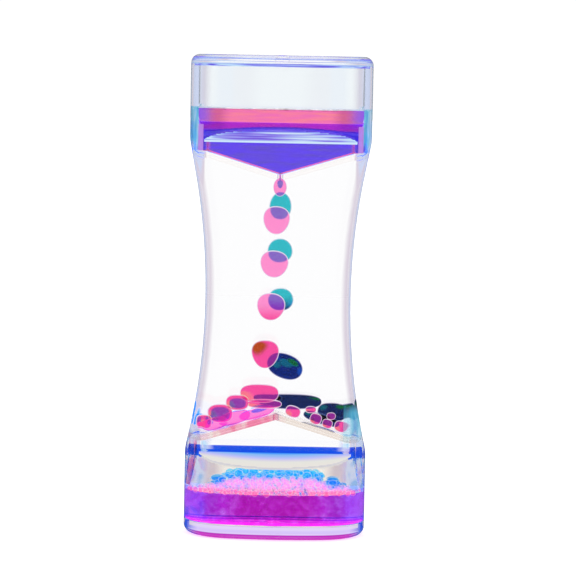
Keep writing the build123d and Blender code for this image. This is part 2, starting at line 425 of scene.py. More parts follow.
def tube_slot(face, tilt, form, foot):
    """Slot of the finish that a face of the tube has, by where it lies and how far its corners tilt."""
    block_height = form.sizes.block_height
    x, y, z = face.center
    across = abs(x)
    facing = abs(face.normal.y) > LEAST_FACING
    if face.material_index == OUTER:
        if z < foot:
            return FOOT
        on_block = min(z, form.height - z) < block_height + form.sizes.edge_softness
        return FACET if facing and tilt > OUTER_TILT and on_block else OUTER
    if face.material_index == WETTED:
        # The inner faces of the lower facets get painted light
        if facing and tilt > REAR_TILT and y > 0 and z < form.height / 2 and across < BLUE_REACH:
            return BLUE_FACET
        if facing and tilt > FRONT_TILT and y < 0 and z < block_height:
            return PAINTED_BEIGE
        # Films of painted light, the first two over streaks of blue dye: how far out a face lies, where the
        # film starts, and its lowest and highest level
        films = [
            (STREAKED, x, 18.5 * MM, 25 * MM, 38 * MM),
            (STREAKED, across, 21.5 * MM, 104 * MM, form.sizes.oil_level),
            (PAINTED_LILAC, across, 20.2 * MM, 106 * MM, 113 * MM),
        ]
        for slot, out, start, low, high in films:
            if out > start and low < z < high:
                return slot
    return face.material_index


def cap_body(form, hole_offset, inside, outside):
    """Bmesh of the lower end cap: a rounded flange, a spigot and two fill holes."""
    sizes = form.sizes
    count = sizes.ring_points
    top = sizes.cap_flange + sizes.cap_spigot
    spigot = sizes.wall + SPIGOT_GAP
    rims = []
    for i in range(RIM_STEPS + 1):
        turn = math.pi / 2 * i / RIM_STEPS
        rims.append((sizes.cap_rim * (1 - math.sin(turn)), sizes.cap_rim * (1 - math.cos(turn))))
    rims += [(0, sizes.cap_flange), (spigot, sizes.cap_flange), (spigot, top)]
    verts, faces = skin([form.ring(level, inset) for inset, level in rims])
    bm = bmesh.new()
    made = [bm.verts.new(v) for v in verts]
    for n, face in enumerate(faces):
        slot = WELDED if n // count > RIM_STEPS else outside
        bm.faces.new([made[i] for i in face]).material_index = slot
    holes = []
    for level, loop, slot in ((0, made[:count], outside), (top, made[-count:], inside)):
        edges = [bm.edges.get((loop[i], loop[i - 1])) for i in range(count)]
        for y in (-hole_offset, hole_offset):
            place = Matrix.Translation((0, y, level))
            radius = sizes.fill_hole / 2
            made_circle = bmesh.ops.create_circle(bm, segments=HOLE_POINTS, radius=radius, matrix=place)
            ring = made_circle["verts"]
            holes.append(ring)
            edges += [bm.edges.get((ring[i], ring[i - 1])) for i in range(HOLE_POINTS)]
        filled = bmesh.ops.triangle_fill(bm, edges=edges, use_beauty=True)
        for face in filled["geom"]:
            if isinstance(face, bmesh.types.BMFace):
                face.material_index = slot
    for low_ring, high_ring in zip(holes[:2], holes[2:]):
        for i in range(HOLE_POINTS):
            quad = (low_ring[i - 1], low_ring[i], high_ring[i], high_ring[i - 1])
            bm.faces.new(quad).material_index = WELDED
    return bm


# Forms of the liquids


def falling_profile(egg, half_height, steps=32):
    """Outline of a falling drop, blunter than an ellipse, whose fuller end an egg share sets."""
    blunt = 0.88
    profile = []
    for i in range(steps + 1):
        turn = math.pi * i / steps
        share = math.sin(turn) ** blunt * (1 + egg * math.cos(turn))
        profile.append((share, -math.cos(turn) * half_height))
    return profile


def hanging_profile(bottom, tip, neck, steps=40):
    """Outline of a hanging drop: a round belly under a neck that reaches up to the drip hole's tip."""
    belly = 0.42
    profile = []
    for i in range(steps + 1):
        rise = (1 - math.cos(math.pi * i / steps)) / 2
        round_share = math.sqrt(max(0, 1 - ((rise - belly) / belly) ** 2))
        profile.append((math.hypot(round_share, neck * rise), bottom + (tip - bottom) * rise))
    return profile


def landed_body(landed, peak, low, high, steps=32):
    """Slumped body of a landed drop on the lower roof, between the front and rear of its pile."""
    blunt, flat, depth_share = 0.75, 0.8, 1.2
    across, over, wide, tall = [length * MM for length in landed]
    lean = math.copysign(math.atan(ROOF_SLOPE), across) if over < LYING else 0
    spot = (across, (low.y + high.y) / 2, peak - ROOF_SLOPE * abs(across) + over)
    place = Matrix.Translation(spot) @ Matrix.Rotation(lean, 4, "Y")
    depth = min(high.y - low.y, depth_share * max(wide, tall))
    profile = []
    for i in range(steps + 1):
        turn = math.pi * i / steps
        rise = -math.copysign(abs(math.cos(turn)) ** flat, math.cos(turn))
        profile.append((math.sin(turn) ** blunt, rise * tall / 2))
    return bulb(profile, wide / 2, depth / 2, place, 48)


def mound(x, half_width, power):
    """Height share of a mound at a place across it, with steeper ends for a higher power."""
    return math.sqrt(max(0, 1 - abs(x / half_width) ** power))


def foam_top(hue, x, low, high):
    """Level of the foam's top at a place across: one blue mound, or pink humps on a level bed."""
    if hue == "blue":
        over = 0.6 * MM
        return low.z + (high.z + over - low.z) * mound(x, high.x, 3)
    bed, bed_half = 1.2 * MM, 19.5 * MM
    hump, hump_half = 2.2 * MM, 14 * MM
    return high.z + bed * mound(x, bed_half, 8) + hump * mound(x, hump_half, 4)


# Materials


# Shader settings of clear things, which let all light through a smooth face
CLEAR = {"Roughness": 0.0, "Transmission Weight": 1.0}
PLASTIC_IN_AIR = {**CLEAR, "IOR": PLASTIC, "Base Color": linear("#FDFDFE")}
PLASTIC_IN_OIL = {**CLEAR, "IOR": PLASTIC / OIL}
WATER_IN_OIL = {**CLEAR, "IOR": WATER_TO_OIL}

# A colour mix node's sockets: its two colours and its result
MIX_FIRST, MIX_SECOND, MIX_RESULT = 6, 7, 2


def add_node(tree, kind, settings=None, stops=()):
    """Add a shader node and give its outputs.

    A setting is the value of a property or an input, or the output that feeds the input. A colour ramp
    also has its (place, hex colour) stops."""
    node = tree.nodes.new("ShaderNode" + kind)
    for name, value in (settings or {}).items():
        if isinstance(name, str) and name not in node.inputs:
            setattr(node, name, value)
        elif isinstance(value, bpy.types.NodeSocket):
            tree.links.new(value, node.inputs[name])
        else:
            node.inputs[name].default_value = value
    for i, (spot, tone) in enumerate(stops):
        made = node.color_ramp.elements
        stop = made[i] if i < len(made) else made.new(spot)
        stop.position = spot
        stop.color = linear(tone)
    return node.outputs


def new_material(name, surface, *options, **more):
    """Material whose output takes what a surface function builds in its node tree."""
    material = bpy.data.materials.new(name)
    material.use_nodes = True
    tree = material.node_tree
    tree.nodes.clear()
    add_node(tree, "OutputMaterial", surface(tree, *options, **more))
    return material


def object_axes(tree):
    """Outputs of an object's own coordinates, whole and along X, Y and Z."""
    place = add_node(tree, "TexCoord")
    return place, add_node(tree, "SeparateXYZ", {"Vector": place["Object"]})


def off_middle(tree, axis, near, far, most=1.0):
    """Share that grows, up to a most, as the distance from the middle goes from near to far."""
    distance = add_node(tree, "Math", {"operation": "ABSOLUTE", 0: axis})["Value"]
    span = {"From Min": near, "From Max": far, "To Max": most, "Value": distance}
    return add_node(tree, "MapRange", span)["Result"]


def flow_lines(tree, place, lengths, detail):
    """Noise output drawn out to the lengths that a flow gives it along X, Y and Z."""
    scales = [1 / length for length in lengths]
    stretch = add_node(tree, "Mapping", {"Scale": scales, "Vector": place["Object"]})["Vector"]
    return add_node(tree, "TexNoise", {"Scale": 1.0, "Detail": detail, "Vector": stretch})["Fac"]


def layered(tree, base, layers):
    """Colour of a base under layers, each a share and a colour. A layer of the same colour adds nothing."""
    for share, tone in layers:
        if tone != base:
            mix = {"data_type": "RGBA", "Factor": share, MIX_FIRST: base, MIX_SECOND: tone}
            base = add_node(tree, "Mix", mix)[MIX_RESULT]
    return base


def painted_light_over(tree, clear, share, tone):
    """Surface of a clear shader, a share of which is painted light: an emission of a colour laid over it
    like a film.
    """
    film = add_node(tree, "Emission", {"Color": tone})["Emission"]
    return add_node(tree, "MixShader", {0: share, 1: clear["BSDF"], 2: film})["Shader"]


def clear_finish(tree, tint, index):
    """Clear material with a smooth face, which only its tint and its refractive index set apart."""
    shader = add_node(tree, "BsdfPrincipled", {**CLEAR, "IOR": index, "Base Color": linear(tint)})
    return {"Surface": shader["BSDF"]}


def polished_polystyrene(tree):
    """Clear polystyrene from a polished mould: bright, with a faint ripple from its cooling."""
    ripple_width = 14 * MM
    ripple_depth = 0.2 * MM
    place = add_node(tree, "TexCoord")["Object"]
    ripple = add_node(tree, "TexNoise", {"Scale": 1 / ripple_width, "Detail": 1.0, "Vector": place})["Fac"]
    bump = add_node(tree, "Bump", {"Strength": 0.12, "Distance": ripple_depth, "Height": ripple})["Normal"]
    shader = add_node(tree, "BsdfPrincipled", {**PLASTIC_IN_AIR, "Normal": bump})
    return {"Surface": shader["BSDF"]}


def wetted_polystyrene(tree):
    """The same plastic where oil wets it: it bends light little, it is tinted beige below the top of the
    lower block, and near its lower ends it has painted patches in the liquids' colours, for the liquids'
    light carried in the wall.
    """
    place, axes = object_axes(tree)
    patch_width = 5 * MM
    patches = flow_lines(tree, place, [patch_width] * 3, 1.0)
    # Painted light: patches in the liquids' colours
    tones = [(0.36, "#8CCCFC"), (0.46, "#FFFFFF"), (0.54, "#FFFFFF"), (0.62, "#F2B4EC"), (0.7, "#C4C0FF")]
    stain = add_node(tree, "ValToRGB", {"Fac": patches}, tones)["Color"]
    rise = {"From Min": 20 * MM, "From Max": 24 * MM, "Value": axes["Z"]}
    over_block = add_node(tree, "MapRange", rise)["Result"]
    fall = {"From Min": 26 * MM, "From Max": 32 * MM, "To Min": 1.0, "To Max": 0.0, "Value": axes["Z"]}
    under_roof = add_node(tree, "MapRange", fall)["Result"]
    at_ends = off_middle(tree, axes["X"], 17 * MM, 20 * MM)
    # The painted patches lie at the ends, under the lower roof
    stained = add_node(tree, "Math", {"operation": "MULTIPLY", 0: at_ends, 1: under_roof})["Value"]
    tint = layered(tree, linear("#F6EFE2"), [(over_block, linear("#FFFFFF")), (stained, stain)])
    shader = add_node(tree, "BsdfPrincipled", {**PLASTIC_IN_OIL, "Base Color": tint})
    return {"Surface": shader["BSDF"]}


def streaked_wall(tree, form):
    """Inner wall where a film of blue dye clings, in upright streaks where it has run down; its pale cyan is
    painted light glowing from the film, for the blue liquid's light carried in the wall.
    """
    place, axes = object_axes(tree)
    flow = flow_lines(tree, place, (2 * MM, 2 * MM, 9 * MM), 2.0)
    tones = [(0.3, "#3C9CD4"), (0.5, "#6CCCE8"), (0.65, "#C4E8FE")]
    tone = add_node(tree, "ValToRGB", {"Fac": flow}, tones)["Color"]
    # The film's ends are ragged, and it thins out towards the front and the rear
    ragged = 5 * MM
    level = add_node(tree, "Math", {"operation": "MULTIPLY_ADD", 0: flow, 1: ragged, 2: axes["Z"]})["Value"]
    rise = {"From Min": ragged / 2, "From Max": form.height + ragged / 2, "Value": level}
    height = add_node(tree, "MapRange", rise)["Result"]
    clear, full = "#000000", "#FFFFFF"
    bands = [(0.2, clear), (0.22, full), (0.26, full), (0.28, clear), (0.8, clear), (0.82, full)]
    reach = add_node(tree, "ValToRGB", {"Fac": height}, bands)["Color"]
    inward = off_middle(tree, axes["Y"], 9.4 * MM, 7.4 * MM, 0.8)
    share = add_node(tree, "Math", {"operation": "MULTIPLY", 0: reach, 1: inward})["Value"]
    wall = add_node(tree, "BsdfPrincipled", {**PLASTIC_IN_OIL, "Base Color": linear("#F4FCFF")})
    # Painted light: the cyan film glows over the wall
    return {"Surface": painted_light_over(tree, wall, share, tone)}


def welded_joint(tree):
    """Solvent-welded faces, which let all light through because both sides are one plastic."""
    shader = add_node(tree, "BsdfTransparent")
    return {"Surface": shader["BSDF"]}


def insert_polystyrene(tree, tint, density, stain=None):
    """Clear trays inside the oil, whose faint tint shows where light runs along them.

    A tray may have painted patches of colour on its left half: a painted reflection of the pile that lies
    over it."""
    face = linear("#FFFEFD")
    if stain:
        place, axes = object_axes(tree)
        patches = flow_lines(tree, place, (4 * MM, 9 * MM, 5 * MM), 1.0)
        patch = add_node(tree, "MapRange", {"From Min": 0.36, "From Max": 0.52, "Value": patches})["Result"]
        leftward = {"From Min": 3 * MM, "From Max": -2 * MM, "Value": axes["X"]}
        left = add_node(tree, "MapRange", leftward)["Result"]
        share = add_node(tree, "Math", {"operation": "MULTIPLY", 0: left, 1: patch})["Value"]
        face = layered(tree, face, [(share, linear(stain))])
    shader = add_node(tree, "BsdfPrincipled", {**PLASTIC_IN_OIL, "Base Color": face})
    depth = add_node(tree, "VolumeAbsorption", {"Color": linear(tint), "Density": density})
    return {"Surface": shader["BSDF"], "Volume": depth["Volume"]}


def soft_polyethylene(tree, middle):
    """Plugs of soft polyethylene: milky at the outer end, and clear where oil wets the rest."""
    _, axes = object_axes(tree)
    milky_end = 1.8 * MM
    inner = {"operation": "COMPARE", 0: axes["Z"], 1: middle, 2: middle - milky_end}
    wetted = add_node(tree, "Math", inner)["Value"]
    tint = layered(tree, linear("#ECE8F8"), [(wetted, linear("#FFFEFF"))])
    soft = {**CLEAR, "Roughness": 0.1, "IOR": PLUG_TO_OIL}
    shader = add_node(tree, "BsdfPrincipled", {**soft, "Base Color": tint})
    return {"Surface": shader["BSDF"]}


def facet_polystyrene(tree, form):
    """Sloping facets of the case, painted with light: bands and a glow in the liquids' colours, as they are
    seen through the facets, and painted highlights in streaks on the upper ones.
    """
    place, axes = object_axes(tree)
    facet_top = form.sizes.block_height
    # The lower front facet's bands of painted light rise a little towards its ends
    bow = 1.2 * MM / (20 * MM) ** 2
    square = add_node(tree, "Math", {"operation": "MULTIPLY", 0: axes["X"], 1: axes["X"]})["Value"]
    level = add_node(tree, "Math", {"operation": "MULTIPLY_ADD", 0: square, 1: -bow, 2: axes["Z"]})["Value"]
    rise = {"From Min": facet_top - form.sizes.facet_height, "From Max": facet_top, "Value": level}
    height = add_node(tree, "MapRange", rise)["Result"]
    bands = [(0.0, "#EAE6DE"), (0.3, "#E6E6DF"), (0.44, "#D9D5E8"), (0.59, "#BDBFFC")]
    bands += [(0.74, "#9CBAF8"), (0.89, "#7DBAF9"), (1.0, "#4395F9")]
    lower_front = add_node(tree, "ValToRGB", {"Fac": height}, bands)["Color"]
    # The upper facets' painted highlights are palest along their lower edge
    edge_start = form.height - facet_top
    edge_end = edge_start + 0.7 * MM
    fall = {"From Min": edge_start, "From Max": edge_end, "To Min": 0.75, "To Max": 0.0, "Value": axes["Z"]}
    edge = add_node(tree, "MapRange", fall)["Result"]
    flow = flow_lines(tree, place, (18 * MM, 3 * MM, 0.7 * MM), 1.5)
    streak = add_node(tree, "Math", {"operation": "MAXIMUM", 0: flow, 1: edge})["Value"]
    tones = [(0.36, "#6458E4"), (0.46, "#8C90F4"), (0.53, "#A8C4FA"), (0.62, "#CCECFE"), (0.8, "#D8F2FF")]
    streaks = add_node(tree, "ValToRGB", {"Fac": streak}, tones)["Color"]
    at_ends = off_middle(tree, axes["X"], 17 * MM, 19 * MM)
    front = add_node(tree, "Math", {"operation": "LESS_THAN", 0: axes["Y"], 1: 0.0})["Value"]
    upper = add_node(tree, "Math", {"operation": "GREATER_THAN", 0: axes["Z"], 1: form.height / 2})["Value"]
    # Painted light: deep blue on the lower rear facet, lilac towards the ends, bands on the lower front
    # facet and highlights on the upper facets
    layers = [(at_ends, linear("#DEDEFC")), (front, lower_front), (upper, streaks)]
    tone = layered(tree, linear("#0A53EE"), layers)
    facet = add_node(tree, "BsdfPrincipled", PLASTIC_IN_AIR)
    # The painted light covers most of each facet's face
    mirrored = 0.92
    return {"Surface": painted_light_over(tree, facet, mirrored, tone)}


def wall_painted_light(tree, film, tint):
    """Inner face of the case, most of which is painted light of one colour over the tinted clear face."""
    wall = add_node(tree, "BsdfPrincipled", {**PLASTIC_IN_OIL, "Base Color": linear(tint)})
    covered = 0.85
    return {"Surface": painted_light_over(tree, wall, covered, linear(film))}


def pool_lit_foot(tree, height):
    """Rounded rim and foot of the case: its front and back mirror the pool over them as bands of light."""
    _, axes = object_axes(tree)
    rise = add_node(tree, "MapRange", {"From Max": height, "Value": axes["Z"]})["Result"]
    bands = [(0.32, "#CE2CBE"), (0.36, "#B026B0"), (0.4, "#E0C8FC"), (0.86, "#E4D8FC"), (0.93, "#A868D0")]
    tone = add_node(tree, "ValToRGB", {"Fac": rise}, bands)["Color"]
    facing = off_middle(tree, axes["Y"], 5 * MM, 10 * MM, 0.9)
    side = add_node(tree, "NewGeometry")
    outside = add_node(tree, "Math", {"operation": "SUBTRACT", 0: 1.0, 1: side["Backfacing"]})["Value"]
    share = add_node(tree, "Math", {"operation": "MULTIPLY", 0: facing, 1: outside})["Value"]
    foot = add_node(tree, "BsdfPrincipled", PLASTIC_IN_AIR)
    return {"Surface": painted_light_over(tree, foot, share, tone)}


def spot_layers(tree, place, spots):
    """Layers of water's tint and glow where its skin faces the spots' directions, seen from either side:
    painted reflections of the surroundings.
    """
    side = add_node(tree, "NewGeometry")
    sign = {"operation": "MULTIPLY_ADD", 0: side["Backfacing"], 1: -2.0, 2: 1.0}
    outward = add_node(tree, "Math", sign)["Value"]
    layers = []
    for tint, direction, width in spots:
        dot = {"operation": "DOT_PRODUCT", 0: place["Normal"], 1: direction}
        along = add_node(tree, "VectorMath", dot)["Value"]
        facing = add_node(tree, "Math", {"operation": "MULTIPLY", 0: along, 1: outward})["Value"]
        reach = {"From Min": 1 - width, "From Max": 1 - width / 4, "Value": facing}
        spread = add_node(tree, "MapRange", {**reach, "interpolation_type": "SMOOTHSTEP"})["Result"]
        layers.append((spread, tint, NO_GLOW))
    return layers


def dyed_water(
    tree,
    tint,
    glow=NO_GLOW,
    low=None,
    span=(0, 1),
    rim=None,
    spots=(),
    sides=None,
    side_span=(8 * MM, 22 * MM),
    cloud=None,
    clear_rim=0.15,
):
    """Dyed water in oil: clear colour that may change with height, and a pale rim where light slips by.

    The low colours, a tint and a glow, hold under the span of heights and the others over it. Each spot is a
    painted
    reflection: a tint where the water, or its low part, faces a direction. The sides' tint and glow hold at
    the ends of a wide pool, and a cloud is the tint of small drops that float in it."""
    place, axes = object_axes(tree)
    layers = spot_layers(tree, place, spots) if spots else []
    if low:
        rise = {"From Min": span[0], "From Max": span[1], "Value": axes["Z"]}
        share = add_node(tree, "MapRange", {**rise, "interpolation_type": "SMOOTHSTEP"})["Result"]
        layers.append((share, tint, glow))
    if cloud:
        # The real drops are finer, and are drawn this coarse so that they show
        cloud_width = 1.6 * MM
        flow = flow_lines(tree, place, [cloud_width] * 3, 2.0)
        thickness = {"From Min": 0.46, "From Max": 0.66, "To Max": 0.8, "Value": flow}
        layers.append((add_node(tree, "MapRange", thickness)["Result"], cloud, None))
    if sides:
        layers.append((off_middle(tree, axes["X"], *side_span), *sides))
    body_tint, body_glow = low or (tint, glow)
    body_tint = layered(tree, body_tint, [(share, layer) for share, layer, _ in layers])
    glows = [(share, layer) for share, _, layer in layers if layer is not None]
    body_glow = layered(tree, body_glow, glows)
    # The glow is painted light: the water gives off light, though it is no lamp
    colours = {"Base Color": body_tint, "Emission Color": body_glow, "Emission Strength": 1.0}
    water = add_node(tree, "BsdfPrincipled", {**WATER_IN_OIL, **colours})
    surface = water["BSDF"]
    if rim:
        facing = add_node(tree, "LayerWeight", {"Blend": 0.5})["Facing"]
        grazing = {"From Min": 0.55, "From Max": 0.8, "To Max": 1 - clear_rim, "Value": facing}
        surface = painted_light_over(tree, water, add_node(tree, "MapRange", grazing)["Result"], rim)
    return {"Surface": surface}


def streaked_water(tree, dyes, brim):
    """Pink water in the upper tray: level streaks of unmixed dye, and violet ends at its brim, which are
    painted light that the case's rounded corners bend into them.
    """
    place, axes = object_axes(tree)
    flow = flow_lines(tree, place, (9 * MM, 4 * MM, 0.8 * MM), 2.0)
    streak = add_node(tree, "MapRange", {"From Min": 0.45, "From Max": 0.65, "Value": flow})["Result"]
    at_ends = off_middle(tree, axes["X"], 17 * MM, 20 * MM)
    rise = {"From Min": brim - 5 * MM, "From Max": brim - 3 * MM, "Value": axes["Z"]}
    at_brim = add_node(tree, "MapRange", rise)["Result"]
    # Painted light: violet at the ends by the brim
    corner = add_node(tree, "Math", {"operation": "MULTIPLY", 0: at_ends, 1: at_brim})["Value"]
    tint = layered(tree, dyes.deep_pink, [(streak, dyes.salmon), (corner, dyes.violet)])
    shader = add_node(tree, "BsdfPrincipled", {**WATER_IN_OIL, "Base Color": tint})
    return {"Surface": shader["BSDF"]}


def light_table(tree):
    """Matt white floor that gives off a little light, so that shadows stay faint."""
    matt = {"Base Color": linear("#E8E8EA"), "Roughness": 0.9, "Specular IOR Level": 0.0}
    light = {"Emission Color": linear("#FFFFFF"), "Emission Strength": 0.45}
    shader = add_node(tree, "BsdfPrincipled", {**matt, **light})
    return {"Surface": shader["BSDF"]}


# Operators


class TIMER_OT_tube(bpy.types.Operator):
    """Build the clear tube of the case"""

    bl_idname = "timer.tube"
    bl_label = "Clear tube"

    def execute(self, context):
        sizes = context.scene.timer_case
        form = CaseForm(sizes)
        foot = sizes.cap_flange + FOOT_RISE
        low = sizes.cap_flange
        high = form.height - low
        outer = form.levels(low, high)
        inner = form.levels(low, high, [sizes.oil_level])[::-1]
        rings = [form.ring(level, 0) for level in outer]
        rings += [form.ring(level, sizes.wall, True) for level in inner]
        kinds = [OUTER] * (len(outer) - 1) + [WELDED]
        kinds += [DRY if level > sizes.oil_level else WETTED for level in inner[:-1]] + [WELDED]
        slots = [kind for kind in kinds for _ in range(sizes.ring_points)]
        finishes = {
            OUTER: new_material("polished_moulded_polystyrene", polished_polystyrene),
            WETTED: new_material("oil_wetted_polystyrene", wetted_polystyrene),
            # A thin film of oil, left on the face over the oil, greys it a little
            DRY: new_material("oil_filmed_polystyrene", clear_finish, "#F2F8FA", PLASTIC),
            WELDED: new_material("solvent_welded_polystyrene", welded_joint),
            FOOT: new_material("pool_lit_polystyrene", pool_lit_foot, foot),
            FACET: new_material("moulded_polystyrene_facet_painted_light", facet_polystyrene, form),
            # Painted light on inner faces: blue in the lower rear facet, beige in the lower front facet and
            # lilac at the ends of the upper block
            BLUE_FACET: new_material("painted_blue_polystyrene", wall_painted_light, "#0A53EE", "#0C88FF"),
            STREAKED: new_material("dye_streaked_painted_glow_polystyrene", streaked_wall, form),
            PAINTED_BEIGE: new_material("painted_beige_polystyrene", wall_painted_light, "#E6E2DC", "#F6EFE2"),
            PAINTED_LILAC: new_material("painted_lilac_polystyrene", wall_painted_light, "#C48CEA", "#F0D0F8"),
        }
        tube = new_object("clear_tube", skin(rings, True), finishes.values(), slots)
        corners = tube.data.vertices
        for face in tube.data.polygons:
            tilt = max(abs(corners[i].normal.z) for i in face.vertices)
            face.material_index = tube_slot(face, tilt, form, foot)
        settle(tube, "case", "clear_case", "body_shell")
        return {"FINISHED"}


class TIMER_OT_caps(bpy.types.Operator):
    """Build the two end caps with their fill holes"""

    bl_idname = "timer.caps"
    bl_label = "End caps"

    def execute(self, context):
        form = CaseForm(context.scene.timer_case)
        finishes = list(bpy.data.objects["clear_tube"].data.materials)[: FOOT + 1]
        for end, inside, outside in (("lower", WETTED, FOOT), ("upper", DRY, OUTER)):
            low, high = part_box(end + "_fill_plugs")
            bm = cap_body(form, (high.y - low.y - form.sizes.fill_hole) / 2, inside, outside)
            if end == "upper":
                bmesh.ops.transform(bm, matrix=Matrix.Scale(-1, 4, (0, 0, 1)), verts=bm.verts)
                bmesh.ops.translate(bm, vec=(0, 0, form.height), verts=bm.verts)
            bmesh.ops.recalc_face_normals(bm, faces=bm.faces)
            cap = new_object(end + "_cap", bm, finishes)
            settle(cap, "case", "clear_case", end + "_end_cap")
        return {"FINISHED"}


class TIMER_OT_inserts(bpy.types.Operator):
    """Finish the plates, trays and plugs, whose frame shapes stay"""

    bl_idname = "timer.inserts"
    bl_label = "Plates, trays and plugs"

    def execute(self, context):
        # Cast acrylic sheet bends light almost as the oil does, and so all but vanishes in it
        sheet = new_material("cast_acrylic_in_oil", clear_finish, "#FFFFFF", ACRYLIC / OIL)
        middle = (CAD_BOX[0][2] + CAD_BOX[1][2]) / 2
        plugs = new_material("moulded_soft_polyethylene", soft_polyethylene, middle)
        stained = {"tint": "#D8B898", "density": 30.0}
        clear_tray = new_material("moulded_polystyrene_in_oil", insert_polystyrene, "#F4F0F4", density=10.0)
        amber_tray = new_material("dye_stained_polystyrene_in_oil", insert_polystyrene, **stained)
        # The lower front tray gets pink patches: a painted reflection of the pink pile on its left half
        stained["stain"] = "#FF96C2"
        pink_tray = new_material("pink_stained_polystyrene_in_oil", insert_polystyrene, **stained)
        finishes = {
            "upper_divider": sheet,
            "lower_divider": sheet,
            "upper_fill_plugs": plugs,
            "lower_fill_plugs": plugs,
            "upper_front_tray": clear_tray,
            "upper_rear_tray": clear_tray,
            "lower_front_tray": pink_tray,
            "lower_rear_tray": amber_tray,
        }
        for node, finish in finishes.items():
            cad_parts[node].material_slots[0].material = finish
        return {"FINISHED"}


class TIMER_OT_bodies(bpy.types.Operator):
    """Build the liquid in the upper trays and the pools in the lower block"""

    bl_idname = "timer.bodies"
    bl_label = "Trays' liquid and pools"

    def execute(self, context):
        dyes = context.scene.timer_liquid
        pink_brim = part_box("pink_reservoir")[1].z
        blue_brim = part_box("blue_reservoir")[1].z
        pool_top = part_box("blue_pool")[1].z
        pool_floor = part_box("pink_pool")[0].z
        skin_depth = 3.0 * MM
        finishes = {
            "pink_reservoir": new_material("pink_dyed_water_in_tray", streaked_water, dyes, pink_brim),
            "blue_reservoir": new_material(
                "blue_dyed_water_in_tray",
                dyed_water,
                dyes.purple,
                dyes.azure_glow,
                (dyes.azure, dyes.azure_glow),
                (blue_brim - skin_depth, blue_brim - skin_depth / 2),
                sides=(linear("#FFFFFF"), NO_GLOW),
                side_span=(19.4 * MM, 21 * MM),
            ),
            "pink_pool": new_material(
                "pink_dyed_water_in_pool",
                dyed_water,
                dyes.pool_pink,
                low=(dyes.pool_pink, dyes.pool_glow),
                span=(pool_floor + 0.1 * MM, pool_floor + 1.2 * MM),
                sides=(linear("#FC8CE4"), None),
                side_span=(16 * MM, 22.5 * MM),
                cloud=linear("#FFB4FF"),
            ),
            "blue_pool": new_material(
                "blue_dyed_water_in_pool",
                dyed_water,
                dyes.pool_skin,
                low=(dyes.pool_blue, NO_GLOW),
                span=(pool_top - 1.4 * MM, pool_top - 0.8 * MM),
                sides=(dyes.pool_side, linear("#5014A8")),
            ),
        }
        tray_passes, pool_passes = 24, 4
        for node, finish in finishes.items():
            passes = tray_passes if "reservoir" in node else pool_passes
            body = soft_copy(node + "_liquid", node, dyes.fineness, passes, finish)
            settle(body, "case", node.split("_")[0] + "_liquid", node)
        return {"FINISHED"}


